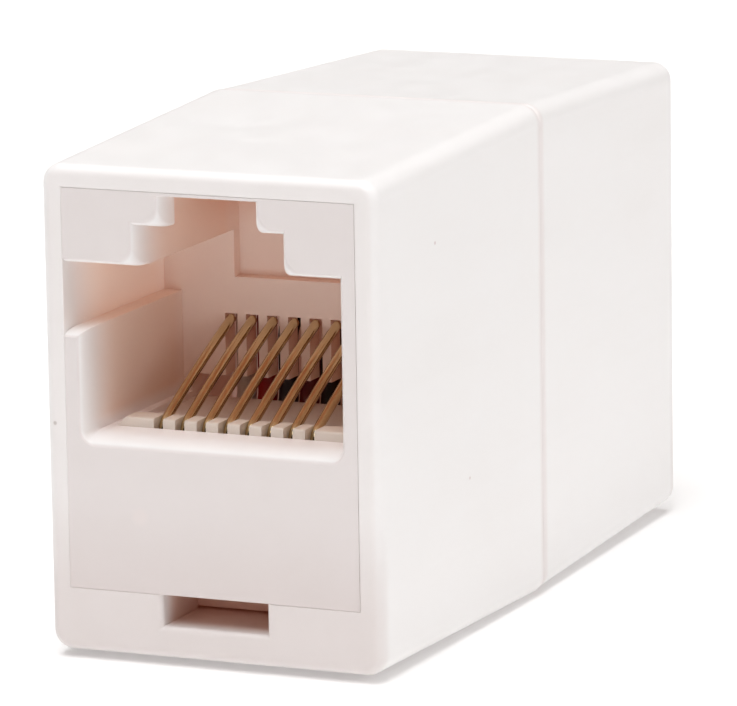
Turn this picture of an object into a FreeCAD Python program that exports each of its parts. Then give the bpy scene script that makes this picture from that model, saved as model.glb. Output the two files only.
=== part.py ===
import FreeCAD, Part
import math
import os

from FreeCAD import Vector

os.makedirs("parts", exist_ok=True)

# RJ45 inline coupler: two tapered half shells meet at a seam, and each holds a keyed
# modular jack. X runs across the sockets, Y along the coupler and Z up. The origin is
# on the seam, at the bottom of the housing. The front end faces -Y, and the rear end is
# the front end turned half a turn about Z. Millimetres and degrees.

# ---- contacts -------------------------------------------------------------------
contact_count = 8
contact_pitch = 1.016
contact_diameter = 0.42
fold_radius = 0.75  # of the wire's centreline round the comb
rise_start_angle = 27.2  # the spring's slope where it leaves the comb
rise_end_angle = 21.6  # and at its tip
tip_in_slot = 0.15  # how far the tip stands in its slot in the rear wall
tip_round = 0.15

# ---- socket, seen from its mouth --------------------------------------------------
socket_width = 11.84
socket_depth = 10.00
main_height = 7.39  # lip to first shoulder
shoulder_height = 1.75  # first shoulder to second shoulder
channel_height = 1.36  # second shoulder to the roof of the latch channel
shoulder_width = 6.68
channel_width = 4.20
latch_catch_depth = 1.35  # the second shoulders end here and the channel widens
inner_round = 0.12
mouth_round = 0.80
key_slot_height = 2.85
flare_depth = 1.20
flare_growth = 0.30
flare_lip_growth = 0.49
flare_steps = 4

# ---- jack body --------------------------------------------------------------------
lip_height = 6.71  # jack's underside to the lip
lip_depth = 2.32
jack_side_wall = 0.86
jack_roof = 0.22
jack_front_wall = 1.20
rear_wall = 1.00
rear_bay_depth = 4.00
bay_wall = 0.90
window_height = 1.10  # gap under the rear wall, over the carrier
rear_slot_width = 0.60
rear_slot_height = 2.80
recess_width = 6.70  # hollow in the rear wall that goes on from the latch channel
recess_drop = 2.10  # from the first shoulder down
recess_depth = 0.60
shelf_thickness = 0.80

# ---- snap tab under the jack --------------------------------------------------------
tab_width = 4.40
tab_thickness = 0.85
tab_gap = 0.15  # between the tab and the jack's underside
tab_length = 8.40
tab_root_length = 1.50
head_width = 5.80
head_length = 1.60
head_drop = 0.30

# ---- contact carrier --------------------------------------------------------------
carrier_width = 11.00
rail_width = 0.30
rail_height = 0.68
tongue_drop = 0.26  # its top lies under the lip
tongue_thickness = 0.63
groove_depth = 0.45
groove_clearance = 0.01
carrier_length = 8.20
tooth_height = 0.68
tooth_length = 1.15
tooth_round = 0.12
tooth_end_inset = 0.40
wire_setback = 0.28  # from the teeth's front to the wires
deck_thickness = 0.34

# ---- splices and leads --------------------------------------------------------------
splice_diameter = 0.80
splice_length = 1.70
splice_depth = 8.00
splice_room = 0.20  # ahead of the splices, in the carrier and behind the shelf
splice_overlap = 0.80  # how far a wire or a lead's core goes into its splice
lead_diameter = 0.90
lead_riser_gap = 0.10  # between the rear wall and the leads that rise behind it
lead_bend_radius = 1.10
lead_first_level = 2.44  # above the contacts' lower run
lead_level_step = 1.05
lead_end_gap = 0.05

# ---- housing ------------------------------------------------------------------------
side_wall = 0.98
top_wall = 0.96
under_jack_wall = 2.81
chamber_half = 2.75  # from each jack's back to the seam
side_draft = 1.09
top_draft = 2.08
bottom_draft = 1.065
profile_radius = 0.85
face_edge_radius = 0.50
seam_edge_radius = 0.30
slot_edge_radius = 0.25
opening_chamfer = 0.03
rear_shell_inset = 0.05
tongue_wall = 0.55
tongue_reach = 1.80
tongue_clearance = 0.05
stop_rib_width = 0.90
stop_rib_height = 6.00
slot_width = 4.90
slot_height = 1.41
slot_length = 3.60
catch_width = 6.60
catch_length = 2.00
tab_room_width = 5.60
tab_room_length = 8.00
core_inset = 4.20  # from the middle to the side hollows
core_floor = 1.30
core_front_wall = 1.20

fit_gap = 0.01

# ---- places that follow from the sizes ------------------------------------------------
jack_width = socket_width + 2 * jack_side_wall
jack_length = socket_depth + rear_wall + rear_bay_depth
jack_height = lip_height + main_height + shoulder_height + channel_height + jack_roof
half_length = jack_length + chamber_half


def taper(angle):
    """How much a drafted wall moves between the end face and the seam."""
    return half_length * math.tan(math.radians(angle))


face_bottom_z = taper(bottom_draft)
jack_z = face_bottom_z + under_jack_wall + fit_gap
jack_top_z = jack_z + jack_height
face_top_z = jack_top_z + fit_gap + top_wall
face_half_width = jack_width / 2 + fit_gap + side_wall
pocket_half_width = jack_width / 2 + fit_gap
pocket_z = jack_z - fit_gap
pocket_top_z = jack_top_z + fit_gap

lip_z = jack_z + lip_height
shoulder_z = lip_z + main_height
channel_z = shoulder_z + shoulder_height
roof_z = channel_z + channel_height
key_z = shoulder_z - key_slot_height

tongue_top_z = lip_z - tongue_drop
run_z = tongue_top_z - tongue_thickness - contact_diameter / 2
carrier_z = tongue_top_z - tongue_thickness - groove_depth
shelf_z = carrier_z - 0.5 * fit_gap
tooth_top_z = tongue_top_z + tooth_height
window_top_z = tongue_top_z + window_height
carrier_depth = lip_depth + fit_gap
fold_depth = carrier_depth + wire_setback + contact_diameter / 2 + fold_radius
fold_z = run_z + fold_radius
groove_width = contact_diameter + 2 * groove_clearance
rail_z = carrier_z + rail_height
rear_wall_back = socket_depth + rear_wall
slot_z = pocket_z - slot_height
tail_depth = splice_depth + splice_overlap
room_depth = splice_depth - splice_room
riser_depth = rear_wall_back + lead_riser_gap + lead_diameter / 2
lead_depth = splice_depth + splice_length + lead_end_gap


def contact_x(number):
    """Centre of contact 1 .. 8, counted along +X in the front socket."""
    return (number - (contact_count + 1) / 2) * contact_pitch


def at(x, depth, z):
    """A point given by its depth behind the front end face."""
    return Vector(x, depth - half_length, z)


def block(x0, x1, depth0, depth1, z0, z1):
    return Part.makeBox(x1 - x0, depth1 - depth0, z1 - z0, at(x0, depth0, z0))


def centred_block(width, depth0, depth1, z0, z1):
    return block(-width / 2, width / 2, depth0, depth1, z0, z1)


def rounded_wire(corners):
    """Closed wire through (point, radius) corners; a radius above zero becomes an arc."""
    ends = []
    for i, (point, radius) in enumerate(corners):
        to_last = (corners[i - 1][0] - point).normalize()
        to_next = (corners[(i + 1) % len(corners)][0] - point).normalize()
        half_turn = to_last.getAngle(to_next) / 2
        cut = radius / math.tan(half_turn)
        middle = point + (to_last + to_next).normalize() * (radius / math.sin(half_turn) - radius)
        ends.append((point + to_last * cut, middle, point + to_next * cut))
    edges = []
    for i, (start, middle, end) in enumerate(ends):
        if corners[i][1] > 0:
            edges.append(Part.Arc(start, middle, end).toShape())
        edges.append(Part.LineSegment(end, ends[(i + 1) % len(ends)][0]).toShape())
    return Part.Wire(edges)


def edges_at_depth(shape, depth):
    """Edges of a shape that lie all in one plane across the coupler."""
    y = depth - half_length
    return [e for e in shape.Edges if max(abs(e.BoundBox.YMin - y), abs(e.BoundBox.YMax - y)) < 1e-4]


def turned(shape):
    """The same piece at the rear end."""
    copy = shape.copy()
    copy.rotate(Vector(0, 0, 0), Vector(0, 0, 1), 180)
    return copy


def save(name, shape):
    solid = shape.removeSplitter() if shape.ShapeType != "Compound" else shape
    solid = solid.Solids[0] if len(solid.Solids) == 1 else solid
    solid.exportStep("parts/" + name + ".step")


# ---- housing ------------------------------------------------------------------------
def housing_corners(depth, inset):
    """Corners of the housing at a depth, held in by an inset."""
    share = depth / half_length
    half = face_half_width + share * taper(side_draft) - inset
    low = (1 - share) * face_bottom_z + inset
    high = face_top_z + share * taper(top_draft) - inset
    return [at(half, depth, low), at(half, depth, high), at(-half, depth, high), at(-half, depth, low)]


def housing_outside(inset):
    """A block with drafted sides, rounded along its length and round both ends."""
    face = housing_corners(0, inset)
    seam = housing_corners(half_length, inset)
    outlines = [face, seam]
    for i in range(4):
        outlines.append([face[i - 1], face[i], seam[i], seam[i - 1]])
    faces = [Part.Face(Part.makePolygon(outline + outline[:1])) for outline in outlines]
    outside = Part.Solid(Part.Shell(faces))
    long_edges = [e for e in outside.Edges if e.BoundBox.YLength > half_length / 2]
    outside = outside.makeFillet(profile_radius, long_edges)
    outside = outside.makeFillet(seam_edge_radius, edges_at_depth(outside, half_length))
    return outside.makeFillet(face_edge_radius, edges_at_depth(outside, 0))


def jack_pocket():
    pocket = centred_block(2 * pocket_half_width, 0, half_length, pocket_z, pocket_top_z)
    return pocket.fuse(opening_bevel())


def opening_bevel():
    """The small bevel round the pocket's mouth."""
    grown = pocket_half_width + opening_chamfer

    def outline(depth, half, low, high):
        return Part.makePolygon([at(*corner) for corner in (
            (half, depth, low), (half, depth, high), (-half, depth, high), (-half, depth, low),
            (half, depth, low))])

    mouth = outline(0, grown, pocket_z - opening_chamfer, pocket_top_z + opening_chamfer)
    inner = outline(opening_chamfer, pocket_half_width, pocket_z, pocket_top_z)
    return Part.makeLoft([mouth, inner], True, True)


def with_release_slot(shell):
    """Cut the slot in the end face, with its mouth's edges rounded."""
    top = jack_z + slot_edge_radius + opening_chamfer
    shell = shell.cut(centred_block(slot_width, 0, slot_length, slot_z, top))
    inside = slot_width / 2 + fit_gap
    mouth = [e for e in edges_at_depth(shell, 0)
             if abs(e.BoundBox.Center.x) < inside and e.BoundBox.Center.z < top + fit_gap
             and e.BoundBox.ZMin > slot_z - fit_gap]
    return shell.makeFillet(slot_edge_radius, mouth)


def tab_room():
    """The catch behind the slot and the room for the rest of the jack's tab."""
    catch = centred_block(catch_width, slot_length, slot_length + catch_length, slot_z, jack_z)
    room_start = slot_length + catch_length
    room = centred_block(tab_room_width, room_start, room_start + tab_room_length, slot_z, jack_z)
    return catch.fuse(room)


def side_hollow(side):
    """The cored hollow under one side of the jack, open towards the seam."""
    inner, outer = sorted((side * core_inset, side * pocket_half_width))
    return block(inner, outer, core_front_wall, half_length, core_floor, jack_z)


def stop_rib(side):
    """A rib on the side wall that the jack's back rests against."""
    wall = pocket_half_width + fit_gap
    inner, outer = sorted((side * (wall - stop_rib_width), side * wall))
    middle = (jack_z + jack_top_z) / 2
    low, high = middle - stop_rib_height / 2, middle + stop_rib_height / 2
    end = half_length - tongue_reach * 0.5
    return block(inner, outer, jack_length + fit_gap, end, low, high)


def seam_ring(wall, start, end):
    """Sides and top of the pocket's mouth at the seam, as thick as a wall."""
    half = pocket_half_width + wall
    ring = centred_block(2 * half, start, end, jack_z, pocket_top_z + wall)
    return ring.cut(centred_block(2 * pocket_half_width, start, end, jack_z, pocket_top_z))


def make_shell(inset):
    shell = with_release_slot(housing_outside(inset)).cut([jack_pocket(), tab_room()])
    for side in (-1, 1):
        shell = shell.cut(side_hollow(side)).fuse(stop_rib(side))
    return shell


def make_front_shell():
    """The front half carries the locating tongue."""
    root = half_length - 0.5 * tongue_reach
    return make_shell(0).fuse(seam_ring(tongue_wall, root, half_length + tongue_reach))


def make_rear_shell():
    """The rear half has the rebate that the tongue goes into."""
    start = half_length - tongue_reach - tongue_clearance
    rebate = seam_ring(tongue_wall + tongue_clearance, start, half_length)
    return turned(make_shell(rear_shell_inset).cut(rebate))


# ---- jack body --------------------------------------------------------------------
def socket_outline(depth, growth, lip_growth, roof_growth, corner_round):
    """The socket's stepped outline at a depth, with the key slot on its -X side."""
    half = socket_width / 2 + growth
    step = shoulder_width / 2 + growth
    neck = channel_width / 2 + growth
    key = jack_width / 2 + fit_gap
    low = lip_z - lip_growth
    first = shoulder_z + growth
    second = channel_z + growth
    high = roof_z + roof_growth
    corners = [
        (half, low, corner_round), (half, first, 0), (step, first, corner_round), (step, second, 0),
        (neck, second, corner_round), (neck, high, 0), (-neck, high, 0),
        (-neck, second, corner_round), (-step, second, 0), (-step, first, corner_round),
        (-key, first, 0), (-key, key_z - growth, 0), (-half, key_z - growth, 0),
        (-half, low, corner_round),
    ]
    return rounded_wire([(at(x, depth, z), radius) for x, z, radius in corners])


def mouth_flare():
    """The mouth narrows along a quarter round to the socket's own outline."""
    sections = []
    for i in range(flare_steps + 1):
        share = i / flare_steps
        flare = 1 - math.sqrt(1 - (1 - share) ** 2)
        corner_round = inner_round + (mouth_round - inner_round) * flare
        sections.append(socket_outline(share * flare_depth, flare * flare_growth,
                                       flare * flare_lip_growth, flare * jack_roof / 2, corner_round))
    return Part.makeLoft(sections, True, False)


def socket_hollow():
    """The room for a plug: the flare, the stepped throat and the wide channel behind it."""
    throat = Part.Face(socket_outline(flare_depth, 0, 0, 0, inner_round))
    throat = throat.extrude(Vector(0, latch_catch_depth - flare_depth, 0))
    key_side = -jack_width / 2 - fit_gap
    return mouth_flare().fuse([
        throat,
        centred_block(socket_width, latch_catch_depth, socket_depth, lip_z, shoulder_z),
        centred_block(shoulder_width, latch_catch_depth, socket_depth, lip_z, roof_z),
        block(key_side, 0, latch_catch_depth, socket_depth, key_z, shoulder_z),
    ])


def carrier_channel():
    """Room for the carrier's tongue, its rails and the window above it."""
    half = carrier_width / 2 + fit_gap
    rail_half = half + rail_width
    upper = block(-half, half, lip_depth, jack_length, shelf_z, window_top_z)
    rails = block(-rail_half, rail_half, lip_depth, jack_length, shelf_z, rail_z + fit_gap)
    return upper.fuse(rails)


def lower_bay():
    """The hollow under the shelf, and the drop behind the shelf for splices and leads."""
    half = jack_width / 2 - bay_wall
    low = jack_z + bay_wall
    under = block(-half, half, jack_front_wall, jack_length, low, shelf_z - shelf_thickness)
    drop_half = carrier_width / 2 + fit_gap
    drop = block(-drop_half, drop_half, room_depth, jack_length, low, tongue_top_z)
    return under.fuse(drop)


def rear_bay():
    half = jack_width / 2 - bay_wall
    return block(-half, half, rear_wall_back, jack_length, jack_z + bay_wall, jack_top_z - bay_wall)


def rear_slot(number):
    """The slot in the rear wall that one contact's tip moves in."""
    x = contact_x(number)
    low, high = window_top_z - fit_gap, window_top_z + rear_slot_height
    return block(x - rear_slot_width / 2, x + rear_slot_width / 2, socket_depth, rear_wall_back, low, high)


def rear_recess():
    low = shoulder_z - recess_drop
    return centred_block(recess_width, socket_depth, socket_depth + recess_depth, low, roof_z)


def snap_tab():
    """The springy tab under the jack, its root at the back and its head at the front."""
    top = jack_z - tab_gap
    low = top - tab_thickness
    front = slot_length + fit_gap
    back = front + tab_length
    arm = centred_block(tab_width, front, back, low, top)
    head = centred_block(head_width, front, front + head_length, low - head_drop, top)
    root = centred_block(tab_width, back - tab_root_length, back, low, jack_z + bay_wall / 2)
    return arm.fuse([head, root])


def make_jack_body():
    body = centred_block(jack_width, 0, jack_length, jack_z, jack_top_z)
    body = body.cut([socket_hollow(), carrier_channel(), lower_bay(), rear_bay(), rear_recess()])
    body = body.cut([rear_slot(number) for number in range(1, contact_count + 1)])
    return body.fuse(snap_tab())


# ---- contact carrier ----------------------------------------------------------------
def tooth_bar():
    """The bar that the comb's teeth are cut from, rounded at the front and bevelled at its ends."""
    back = carrier_depth + tooth_length
    corners = [
        (at(0, carrier_depth, carrier_z), 0),
        (at(0, carrier_depth, tooth_top_z), tooth_round),
        (at(0, back, tooth_top_z), tooth_round),
        (at(0, back + tooth_height, tongue_top_z), 0),
        (at(0, back + tooth_height, carrier_z), 0),
    ]
    bar = Part.Face(rounded_wire(corners)).extrude(Vector(carrier_width / 2, 0, 0))
    bar = bar.fuse(bar.mirror(Vector(0, 0, 0), Vector(1, 0, 0)))
    half = carrier_width / 2
    for side in (-1, 1):
        tip = [(side * half, tooth_top_z - tooth_end_inset), (side * half, tooth_top_z + tooth_end_inset),
               (side * (half - 2 * tooth_end_inset), tooth_top_z + tooth_end_inset)]
        points = [at(x, 0, z) for x, z in tip]
        wedge = Part.Face(Part.makePolygon(points + points[:1])).extrude(Vector(0, half_length, 0))
        bar = bar.cut(wedge)
    return bar


def carrier_blank():
    end = carrier_depth + carrier_length
    tongue = centred_block(carrier_width, carrier_depth, end, carrier_z, tongue_top_z)
    rail_span = carrier_width + 2 * rail_width
    rails = centred_block(rail_span, carrier_depth, end, carrier_z, rail_z)
    return tongue.fuse([rails, tooth_bar()])


def wire_slot(number):
    """The comb's slot and the groove under the tongue for one wire, round its core."""
    x0 = contact_x(number) - groove_width / 2
    slot_end = carrier_depth + tooth_length + tooth_height
    slot = block(x0, x0 + groove_width, carrier_depth, slot_end, carrier_z, tooth_top_z)
    core_radius = fold_radius - contact_diameter / 2 - groove_clearance
    core = Part.makeCylinder(core_radius, groove_width, at(x0, fold_depth, fold_z), Vector(1, 0, 0))
    groove_top = run_z + contact_diameter / 2 + groove_clearance
    web = block(x0, x0 + groove_width, fold_depth, slot_end, groove_top, tongue_top_z)
    groove = block(x0, x0 + groove_width, slot_end, room_depth, carrier_z, groove_top)
    return slot.cut(core.fuse(web)).fuse(groove)


def splice_relief():
    """The room under the carrier's deck for the splices and the leads."""
    end = carrier_depth + carrier_length
    half = contact_x(contact_count) + contact_pitch / 2
    return block(-half, half, room_depth, end, carrier_z, tongue_top_z - deck_thickness)


def make_carrier():
    cuts = [wire_slot(number) for number in range(1, contact_count + 1)]
    return carrier_blank().cut(cuts).cut(splice_relief())


# ---- contacts, splices and leads ------------------------------------------------------
def turn_point(centre_depth, centre_z, radius, angle):
    """A point on a circle in the YZ plane; the angle is the slope of the circle there."""
    slope = math.radians(angle)
    return centre_depth - radius * math.sin(slope), centre_z + radius * math.cos(slope)


def contact_path(x):
    """Tail under the tongue, fold round the comb, then the slightly bowed spring."""
    tip_depth = socket_depth + tip_in_slot
    start = turn_point(fold_depth, fold_z, fold_radius, rise_start_angle)
    low_front = turn_point(fold_depth, fold_z, fold_radius, (rise_start_angle + 180) / 2)
    span = math.sin(math.radians(rise_start_angle)) - math.sin(math.radians(rise_end_angle))
    bow_radius = (tip_depth - start[0]) / span
    bow_depth = start[0] + bow_radius * math.sin(math.radians(rise_start_angle))
    bow_z = start[1] - bow_radius * math.cos(math.radians(rise_start_angle))
    bow_middle = turn_point(bow_depth, bow_z, bow_radius, (rise_start_angle + rise_end_angle) / 2)
    tip = turn_point(bow_depth, bow_z, bow_radius, rise_end_angle)
    tail = Part.LineSegment(at(x, tail_depth, run_z), at(x, fold_depth, run_z))
    fold = Part.Arc(at(x, fold_depth, run_z), at(x, *low_front), at(x, *start))
    spring = Part.Arc(at(x, *start), at(x, *bow_middle), at(x, *tip))
    return Part.Wire([tail.toShape(), fold.toShape(), spring.toShape()])


def make_contact(number):
    x = contact_x(number)
    path = contact_path(x)
    section = Part.Wire(Part.makeCircle(contact_diameter / 2, at(x, tail_depth, run_z), Vector(0, 1, 0)))
    wire = path.makePipeShell([section], True, False)
    tip_z = max(vertex.Z for vertex in path.Vertexes)
    tip_edges = [e for e in wire.Edges if len(e.Vertexes) == 1 and e.BoundBox.ZMax > tip_z]
    return wire.makeFillet(tip_round, tip_edges)


def make_splice(number):
    """A crimp barrel: the contact's tail goes in one end and the lead's core in the other."""
    start = at(contact_x(number), splice_depth, run_z)
    along = Vector(0, 1, 0)
    bore = contact_diameter / 2 + groove_clearance
    return Part.makeCylinder(splice_diameter / 2, splice_length, start, along).cut(
        Part.makeCylinder(bore, splice_length, start, along))


def lead_level(number):
    """Height at which a lead crosses over: the outer leads pass over the inner ones."""
    middle = contact_count // 2
    rank = 2 * (middle - number) if number <= middle else 2 * (number - middle) - 1
    return run_z + lead_first_level + rank * lead_level_step


def lead_route(number):
    """Out of the front splice, up, across to the other side, down and into the rear splice."""
    x = contact_x(number)
    level = lead_level(number)
    front = [at(x, lead_depth, run_z), at(x, riser_depth, run_z), at(x, riser_depth, level)]
    rear = [Vector(-p.x, -p.y, p.z) for p in reversed(front)]
    return front + rear


def bent_path(points, radius):
    """Straight runs joined by tangent arcs."""
    edges = []
    start = points[0]
    for last, corner, following in zip(points, points[1:], points[2:]):
        to_last = (last - corner).normalize()
        to_next = (following - corner).normalize()
        half_turn = to_last.getAngle(to_next) / 2
        cut = radius / math.tan(half_turn)
        bend_start, bend_end = corner + to_last * cut, corner + to_next * cut
        middle = corner + (to_last + to_next).normalize() * (radius / math.sin(half_turn) - radius)
        edges.append(Part.LineSegment(start, bend_start).toShape())
        edges.append(Part.Arc(bend_start, middle, bend_end).toShape())
        start = bend_end
    edges.append(Part.LineSegment(start, points[-1]).toShape())
    return Part.Wire(edges)


def make_lead(number):
    """An insulated lead with its bare core's ends in the two splices."""
    route = lead_route(number)
    section = Part.Wire(Part.makeCircle(lead_diameter / 2, route[0], Vector(0, 1, 0)))
    lead = bent_path(route, lead_bend_radius).makePipeShell([section], True, False)
    reach = splice_overlap + lead_end_gap
    for end, away in ((route[0], Vector(0, -1, 0)), (route[-1], Vector(0, 1, 0))):
        lead = lead.fuse(Part.makeCylinder(contact_diameter / 2, reach, end, away))
    return lead


# ---- write every piece ----------------------------------------------------------------
save("front_shell", make_front_shell())
save("rear_shell", make_rear_shell())
jack_body = make_jack_body()
save("front_jack_body", jack_body)
save("rear_jack_body", turned(jack_body))
carrier = make_carrier()
save("front_contact_carrier", carrier)
save("rear_contact_carrier", turned(carrier))
for number in range(1, contact_count + 1):
    contact = make_contact(number)
    save("front_contact_" + str(number), contact)
    save("rear_contact_" + str(number), turned(contact))
    splice = make_splice(number)
    save("front_splice_" + str(number), splice)
    save("rear_splice_" + str(number), turned(splice))
    save("lead_" + str(number), make_lead(number))
print("lead bend radius", lead_bend_radius, "mm, lead diameter", lead_diameter, "mm")
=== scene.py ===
import math

import bpy
from mathutils import Matrix, Vector


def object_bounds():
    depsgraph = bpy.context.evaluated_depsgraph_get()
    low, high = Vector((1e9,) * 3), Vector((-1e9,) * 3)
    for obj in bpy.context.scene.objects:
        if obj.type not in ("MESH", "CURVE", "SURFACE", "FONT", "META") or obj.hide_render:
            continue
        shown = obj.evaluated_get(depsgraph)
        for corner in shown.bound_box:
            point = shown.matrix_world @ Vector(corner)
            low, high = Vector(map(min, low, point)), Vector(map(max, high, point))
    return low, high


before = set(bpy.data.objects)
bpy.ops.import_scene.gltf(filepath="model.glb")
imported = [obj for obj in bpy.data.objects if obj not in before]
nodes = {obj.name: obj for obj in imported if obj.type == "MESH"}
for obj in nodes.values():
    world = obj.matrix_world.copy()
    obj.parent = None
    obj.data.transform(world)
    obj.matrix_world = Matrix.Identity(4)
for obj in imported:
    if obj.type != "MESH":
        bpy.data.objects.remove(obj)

cad_low, cad_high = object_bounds()

MM = 0.001
END_Y = -cad_low[1]  # the end faces' distance from the seam

# ---- camera: a long lens, to the right of the front socket and a little above it ---------
azimuth = math.radians(23.535)
elevation = math.radians(11.343)
camera_roll = math.radians(-0.914)
target = Vector((7.360 * MM, -END_Y, 14.326 * MM))
distance = 247.956 * MM
lens_mm = 290.2
sensor_mm = 36.0

back = Vector((math.sin(azimuth) * math.cos(elevation),
               -math.cos(azimuth) * math.cos(elevation), math.sin(elevation)))
level_right = Vector((math.cos(azimuth), math.sin(azimuth), 0))
level_up = back.cross(level_right)
right = math.cos(camera_roll) * level_right + math.sin(camera_roll) * level_up
up = -math.sin(camera_roll) * level_right + math.cos(camera_roll) * level_up
camera_data = bpy.data.cameras.new("camera")
camera_data.lens = lens_mm
camera_data.sensor_width = sensor_mm
camera_data.clip_start = 10 * MM
camera = bpy.data.objects.new("camera", camera_data)
bpy.context.scene.collection.objects.link(camera)
camera.matrix_world = Matrix.Translation(target + back * distance) @ Matrix(
    (right, up, back)).transposed().to_4x4()
bpy.context.scene.camera = camera
bpy.context.scene.view_settings.view_transform = "Standard"


# ---- node helpers ------------------------------------------------------------------------
class Graph:
    """The node tree of a material or of the world, built with short calls."""

    def __init__(self, owner, shader_name="Principled BSDF", coordinates="Object"):
        owner.use_nodes = True
        self.owner = owner
        self.tree = owner.node_tree
        self.shader = self.tree.nodes[shader_name]
        self.place = self.tree.nodes.new("ShaderNodeTexCoord").outputs[coordinates]

    def link(self, source, socket):
        """Feed a socket from a number, a colour or another node's output."""
        if isinstance(source, (int, float)):
            socket.default_value = source
        elif isinstance(source, tuple):
            socket.default_value = source + (1.0,)
        else:
            self.tree.links.new(source, socket)

    def shade(self, name, source):
        """Feed the shader's input of this name."""
        self.link(source, self.shader.inputs[name])

    def math(self, operation, a, b=0.0):
        """Arithmetic on one or two values, under Blender's name for the operation."""
        node = self.tree.nodes.new("ShaderNodeMath")
        node.operation = operation
        self.link(a, node.inputs[0])
        self.link(b, node.inputs[1])
        return node.outputs[0]

    def product(self, first, *factors):
        for factor in factors:
            first = self.math("MULTIPLY", first, factor)
        return first

    def ramp(self, value, low, high, out_low=0.0, out_high=1.0, shape="SMOOTHSTEP"):
        """Change from out_low to out_high as value goes from low to high."""
        node = self.tree.nodes.new("ShaderNodeMapRange")
        node.interpolation_type = shape
        for source, name in ((value, "Value"), (low, "From Min"), (high, "From Max"),
                             (out_low, "To Min"), (out_high, "To Max")):
            self.link(source, node.inputs[name])
        return node.outputs["Result"]

    def axes(self):
        """The place's x, y and z."""
        node = self.tree.nodes.new("ShaderNodeSeparateXYZ")
        self.link(self.place, node.inputs[0])
        return tuple(node.outputs)

    def stretched(self, x, y, z):
        """The place, scaled along each axis."""
        node = self.tree.nodes.new("ShaderNodeMapping")
        self.link(self.place, node.inputs["Vector"])
        node.inputs["Scale"].default_value = (x, y, z)
        return node.outputs["Vector"]

    def near(self, point, inner, outer):
        """1 within inner of a point, 0 beyond outer."""
        node = self.tree.nodes.new("ShaderNodeVectorMath")
        node.operation = "DISTANCE"
        self.link(self.place, node.inputs[0])
        node.inputs[1].default_value = point
        return self.ramp(node.outputs["Value"], inner, outer, 1.0, 0.0)

    def noise(self, scale, detail, rough=0.5, place=None):
        """Soft noise with scale features to the metre."""
        node = self.tree.nodes.new("ShaderNodeTexNoise")
        self.link(place or self.place, node.inputs["Vector"])
        node.inputs["Scale"].default_value = scale
        node.inputs["Detail"].default_value = detail
        node.inputs["Roughness"].default_value = rough
        return node.outputs["Fac"]

    def patches(self, noise, low=0.3, high=0.7, least=0.0, most=1.0):
        """Least where the noise is under low, most where it is over high."""
        return self.ramp(noise, low, high, least, most)

    def mix(self, mask, under, over):
        """The colour under where the mask is 0, the colour over where it is 1."""
        node = self.tree.nodes.new("ShaderNodeMix")
        node.data_type = "RGBA"
        colours = [socket for socket in node.inputs if socket.type == "RGBA"]
        self.link(mask, node.inputs[0])
        self.link(under, colours[0])
        self.link(over, colours[1])
        return [socket for socket in node.outputs if socket.type == "RGBA"][0]

    def layered(self, colour, layers):
        """A colour with others laid over it, each through its own mask."""
        for mask, over in layers:
            colour = self.mix(mask, colour, over)
        return colour

    def bump(self, height, distance, strength, normal=None):
        """A normal tilted by a height map, over another normal if there is one."""
        node = self.tree.nodes.new("ShaderNodeBump")
        self.link(height, node.inputs["Height"])
        node.inputs["Distance"].default_value = distance
        node.inputs["Strength"].default_value = strength
        if normal is not None:
            self.link(normal, node.inputs["Normal"])
        return node.outputs["Normal"]


def material_graph(name):
    """A new material's graph; the material is its owner."""
    return Graph(bpy.data.materials.new(name))


def linear(*display):
    """Linear colour from 0-255 display values."""
    shares = [value / 255 for value in display]
    return tuple(c / 12.92 if c <= 0.0404 else ((c + 0.055) / 1.055) ** 2.4 for c in shares)


# ---- where painted shade changes the ivory plastic's tone --------------------------------
# Rooms: half-width, lowest and highest height.
room_edge = 0.02 * MM  # half of the width over which a room's edge fades
pocket_room = (6.83 * MM, 1.6 * MM, 20.62 * MM)  # the jack's pocket and the release slot
jack_room = (6.83 * MM, 3.16 * MM, 20.62 * MM)  # the jack's pocket alone
channel_room = (3.6 * MM, 15.0 * MM, 20.7 * MM)  # round the socket's latch channel
slot_room = (2.95 * MM, 1.6 * MM, 3.14 * MM)  # round the release slot

# Fades: where a tone starts and where it is full, or the other way round.
face_depths = (0.01 * MM, 0.10 * MM)  # the end face, and nothing behind it
comb_heights = (9.9 * MM, 10.6 * MM)  # from the socket's lip to just over the comb's teeth
rear_wall_depths = (8.8 * MM, 9.9 * MM)  # ahead of the socket's rear wall
roof_heights = (17.3 * MM, 20.6 * MM)  # from the first shoulders to the pocket's roof
roof_depths = (3.5 * MM, 9.5 * MM)
slot_depths = (0.0, 1.6 * MM)
foot_heights = (2.5 * MM, 8.0 * MM)
foot_depths = (0.0, 1.0 * MM)
seam_distances = (0.22 * MM, 0.60 * MM)
glow_start = 0.3 * MM
glow_share = 0.7  # of the depth at which the plastic is warmest

# Tones: painted shade in the socket's hollows and seam, and the plastic's own clouds and flow
# lines; and how much of each shows at most.
# painted shade under the latch channel's roof, warm and dark
painted_roof_shade = (0.86, 0.52, 0.36)
# painted shade in the release slot
painted_slot_shade = (0.74, 0.50, 0.41)
# painted shade low on the end faces, darker towards the bottom
painted_foot_shade = (0.72, 0.63, 0.61)
# painted shade in the seam groove, pinkish
painted_seam_shade = (0.78, 0.64, 0.62)
cloud_tone = linear(214, 203, 192)
flow_tone = linear(200, 186, 174)
black = (0.0, 0.0, 0.0)
# the painted warm shade is weaker just ahead of the socket's rear wall
rear_wall_shade_share = 0.72
# how much of the painted shade under the roof shows at most
roof_shade_share = 0.9
# how much of the painted shade low on the end faces shows at most
foot_shade_share = 0.5
# how much of the painted shade in the seam groove shows at most
seam_shade_share = 0.26
cloud_share = 0.05
flow_share = 0.03


def inside(g, x, z, half_width, low, high):
    """1 on surfaces that lie inside a room from end face to end face, 0 outside it."""
    return g.product(
        g.ramp(g.math("ABSOLUTE", x), half_width - room_edge, half_width + room_edge, 1.0, 0.0),
        g.ramp(z, low - room_edge, low + room_edge),
        g.ramp(z, high - room_edge, high + room_edge, 1.0, 0.0))


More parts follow.
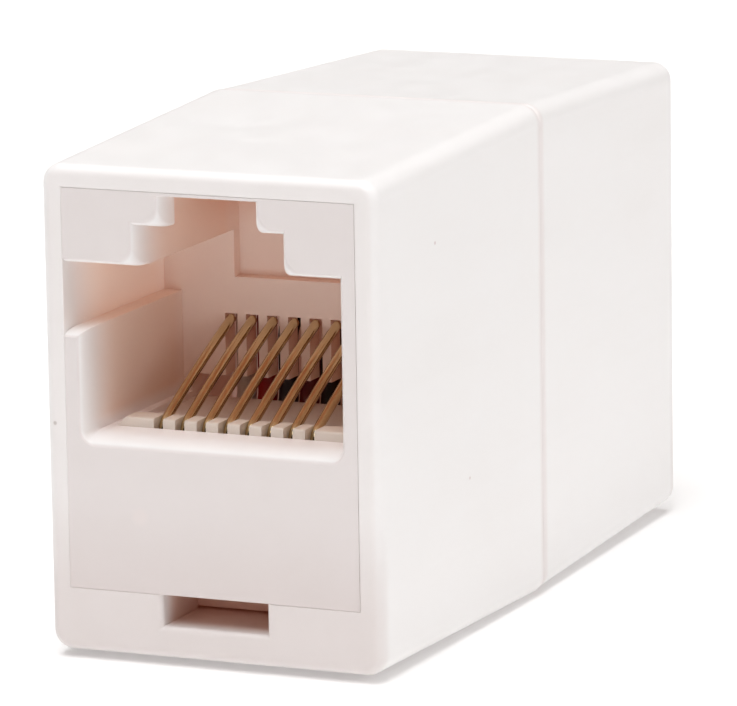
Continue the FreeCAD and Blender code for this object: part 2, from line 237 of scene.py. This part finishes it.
def shared_layers(g, x, y, z, depth):
    """Painted shade in the release slot, low on the end faces and in the seam groove; faint
    clouds and flow lines of the plastic's own tone.
    """
    # painted shade in the release slot, growing with depth
    slot_shade_mask = g.product(inside(g, x, z, *slot_room), g.ramp(depth, *slot_depths))
    # painted shade low on the end faces, darker towards the bottom
    foot_shade_mask = g.product(g.ramp(z, *foot_heights, foot_shade_share, 0.0),
                     g.ramp(depth, *foot_depths, 1.0, 0.0))
    # painted shade in the seam groove
    seam_shade_mask = g.ramp(g.math("ABSOLUTE", y), *seam_distances, seam_shade_share, 0.0)
    clouds = g.patches(g.noise(scale=180, detail=2), high=0.75, most=cloud_share)
    along_flow = g.stretched(1.0, 0.12, 1.0)
    flow = g.patches(g.noise(scale=700, detail=2, place=along_flow), 0.35, 0.8, most=flow_share)
    return [(slot_shade_mask, painted_slot_shade), (foot_shade_mask, painted_foot_shade), (seam_shade_mask, painted_seam_shade),
            (clouds, cloud_tone), (flow, flow_tone)]


def moulded_plastic(name, end_face_shade, pale, deep, warm_shade_depth, glow,
                    warm_shade_room=None, glow_room=None, specks=()):
    """Satin ivory plastic with a painted warm shade in the depths of a socket.

    It goes from pale to deep over the given depth, a painted warm shade, and its end faces get a
    painted shade, darker and pinker. The depths also get a painted glow, an emission that stands
    in for light carried inwards by the thin walls. In a shell, the two rooms keep the warm shade
    and the glow to its inside.
    """
    g = material_graph(name)
    x, y, z = g.axes()
    depth = g.math("SUBTRACT", END_Y, g.math("ABSOLUTE", y))
    # painted warm shade: deeper into the socket and above the comb, weaker at the rear wall
    painted_warm_shade = g.product(g.ramp(depth, 0.0, warm_shade_depth), g.ramp(z, *comb_heights),
                       g.ramp(depth, *rear_wall_depths, 1.0, rear_wall_shade_share))
    # painted glow: emission in the depths, standing in for light through the thin walls
    glowing = g.ramp(depth, glow_start, glow_share * warm_shade_depth)
    if warm_shade_room:
        painted_warm_shade = g.product(painted_warm_shade, inside(g, x, z, *warm_shade_room))
    if glow_room:
        glowing = g.product(glowing, inside(g, x, z, *glow_room))
    # painted shade under the latch channel's roof, growing deeper in
    roof_shade_mask = g.product(inside(g, x, z, *channel_room), g.ramp(z, *roof_heights),
                           g.ramp(depth, *roof_depths, 0.0, roof_shade_share))
    layers = [(painted_warm_shade, deep), (roof_shade_mask, painted_roof_shade),
              # painted shade on the end faces: darker and pinker than the sides
              (g.ramp(depth, *face_depths, 1.0, 0.0), end_face_shade)]
    layers += shared_layers(g, x, y, z, depth)
    layers += [(g.near(place, 0.4 * radius, radius), colour) for place, radius, colour in specks]
    g.shade("Base Color", g.layered(pale, layers))
    # the painted glow, as emission
    g.shade("Emission Color", g.mix(glowing, black, glow))
    g.shade("Emission Strength", 1.0)
    g.shade("Roughness", g.patches(g.noise(scale=900, detail=2), least=0.37, most=0.48))
    grain = g.bump(g.noise(scale=9000, detail=3, rough=0.6), distance=0.004 * MM, strength=0.3)
    waves = g.noise(scale=450, detail=2)
    g.shade("Normal", g.bump(waves, distance=0.02 * MM, strength=0.4, normal=grain))
    return g.owner


def contact_gold():
    """Polished gold plate, a little uneven in colour."""
    g = material_graph("contact_gold")
    pale, deep = (0.62, 0.50, 0.30), (0.57, 0.45, 0.26)
    g.shade("Base Color", g.mix(g.patches(g.noise(scale=600, detail=1), low=0.35), pale, deep))
    g.shade("Metallic", 1.0)
    g.shade("Roughness", g.patches(g.noise(scale=800, detail=1), least=0.12, most=0.15))
    return g.owner


def splice_tin():
    """Dull tin plate with a fine grain."""
    g = material_graph("splice_tin")
    bright, dull = linear(196, 194, 188), linear(160, 158, 152)
    g.shade("Base Color", g.mix(g.patches(g.noise(scale=2000, detail=3), low=0.35), bright, dull))
    g.shade("Metallic", 1.0)
    g.shade("Roughness", g.patches(g.noise(scale=4000, detail=3), least=0.3, most=0.5))
    g.shade("Normal", g.bump(g.noise(scale=5000, detail=3), distance=0.01 * MM, strength=0.3))
    return g.owner


def insulation(name, colour):
    """Glossy insulation with darker patches of its own colour."""
    g = material_graph(name)
    darker = tuple(0.7 * c for c in colour)
    g.shade("Base Color", g.mix(g.patches(g.noise(scale=1200, detail=3), high=0.75),
                                colour, darker))
    g.shade("Roughness", g.patches(g.noise(scale=2500, detail=2), least=0.28, most=0.42))
    g.shade("Normal", g.bump(g.noise(scale=4000, detail=2), distance=0.01 * MM, strength=0.3))
    return g.owner


def floor_white():
    """White card that also gives a little light of its own."""
    g = material_graph("floor_white")
    g.shade("Base Color", g.mix(g.noise(scale=30, detail=2), (0.88, 0.88, 0.88),
                                (0.90, 0.90, 0.90)))
    g.shade("Roughness", 0.9)
    g.shade("Emission Color", (1.0, 0.96, 0.955))
    g.shade("Emission Strength", 0.17)
    return g.owner


# ---- the part's materials ----------------------------------------------------------------
def speck(x, y, z, radius, colour):
    """A speck at a place and with a radius in millimetres."""
    return tuple(Vector((x, y, z)) * MM), radius * MM, colour


face_y = -END_Y / MM  # of the front face, in millimetres
shell_specks = (
    speck(7.885, -11.693, 17.975, 0.11, linear(226, 212, 212)),
    speck(7.950, -8.299, 7.035, 0.10, linear(226, 214, 212)),
    speck(-7.338, face_y, 10.309, 0.12, linear(216, 208, 204)),
)
jack_specks = (speck(-3.404, face_y, 6.481, 0.50, (0.86, 0.79, 0.775)),)

# The deep tone is a painted warm shade inside the socket, the end faces get a painted shade, and
# the glow is painted light.
housing = moulded_plastic(
    "housing_ivory", end_face_shade=(0.95, 0.915, 0.905), pale=(0.97, 0.95, 0.945),
    deep=(0.965, 0.825, 0.72), warm_shade_depth=5 * MM, glow=(0.140, 0.085, 0.070),
    warm_shade_room=pocket_room, glow_room=jack_room, specks=shell_specks)
jack = moulded_plastic(
    "jack_ivory", end_face_shade=(0.855, 0.80, 0.79), pale=(0.98, 0.965, 0.965),
    deep=(0.955, 0.79, 0.69), warm_shade_depth=3.6 * MM, glow=(0.032, 0.009, 0.004),
    specks=jack_specks)
comb_pale = (0.85, 0.76, 0.68)
carrier = moulded_plastic(
    "carrier_ivory", end_face_shade=comb_pale, pale=comb_pale,
    deep=(0.82, 0.66, 0.50), warm_shade_depth=9 * MM, glow=(0.008, 0.002, 0.001))

# 0-255 display values
lead_colours = {
    "lead_1": (226, 222, 214),
    "lead_2": (176, 22, 24),
    "lead_3": (16, 14, 30),
    "lead_4": (110, 16, 20),
    "lead_5": (14, 12, 16),
    "lead_6": (206, 128, 48),
    "lead_7": (176, 22, 24),
    "lead_8": (112, 70, 34),
}


def paint(names, material):
    for name in names:
        mesh = nodes[name].data
        mesh.materials.clear()
        mesh.materials.append(material)


ends = ("front", "rear")
contact_numbers = range(1, 9)

paint([end + "_shell" for end in ends], housing)
paint([end + "_jack_body" for end in ends], jack)
paint([end + "_contact_carrier" for end in ends], carrier)
paint(["%s_contact_%d" % (end, n) for end in ends for n in contact_numbers], contact_gold())
paint(["%s_splice_%d" % (end, n) for end in ends for n in contact_numbers], splice_tin())
for name, display_colour in lead_colours.items():
    paint([name], insulation(name + "_insulation", linear(*display_colour)))

# ---- floor, light and surroundings -------------------------------------------------------
reach = 1.5
floor_gap = 0.02 * MM  # under the part, so that no two surfaces meet
floor_mesh = bpy.data.meshes.new("floor")
floor_corners = [(-reach, -reach, 0), (reach, -reach, 0), (reach, reach, 0), (-reach, reach, 0)]
floor_mesh.from_pydata(floor_corners, [], [(0, 1, 2, 3)])
floor_mesh.materials.append(floor_white())
floor = bpy.data.objects.new("floor", floor_mesh)
bpy.context.scene.collection.objects.link(floor)
floor.location.z = cad_low[2] - floor_gap

sun_width = math.radians(40)  # wide, so shadows are soft


def soft_sun(name, toward, strength):
    """Distant soft light that comes from the direction toward."""
    data = bpy.data.lights.new(name, "SUN")
    data.angle = sun_width
    data.energy = strength
    lamp = bpy.data.objects.new(name, data)
    bpy.context.scene.collection.objects.link(lamp)
    lamp.rotation_euler = Vector(toward).to_track_quat("Z", "Y").to_euler()


soft_sun("overhead", toward=(0.0, 0.0, 1.0), strength=1.66)
soft_sun("front_top", toward=(0.0, -0.5, 0.87), strength=1.25)
soft_sun("right_side", toward=(0.87, 0.0, 0.5), strength=0.47)

# The surroundings are dark in front and dim grey from the sides to the rear.
front_sky = (0.07, 0.05, 0.045)
rear_sky = (0.21, 0.20, 0.19)
world = bpy.data.worlds.new("studio")
sky = Graph(world, "Background", "Generated")
past_front = sky.ramp(sky.axes()[1], -1.0, 0.0, shape="LINEAR")
sky.shade("Color", sky.mix(past_front, front_sky, rear_sky))
sky.shade("Strength", 1.0)
bpy.context.scene.world = world
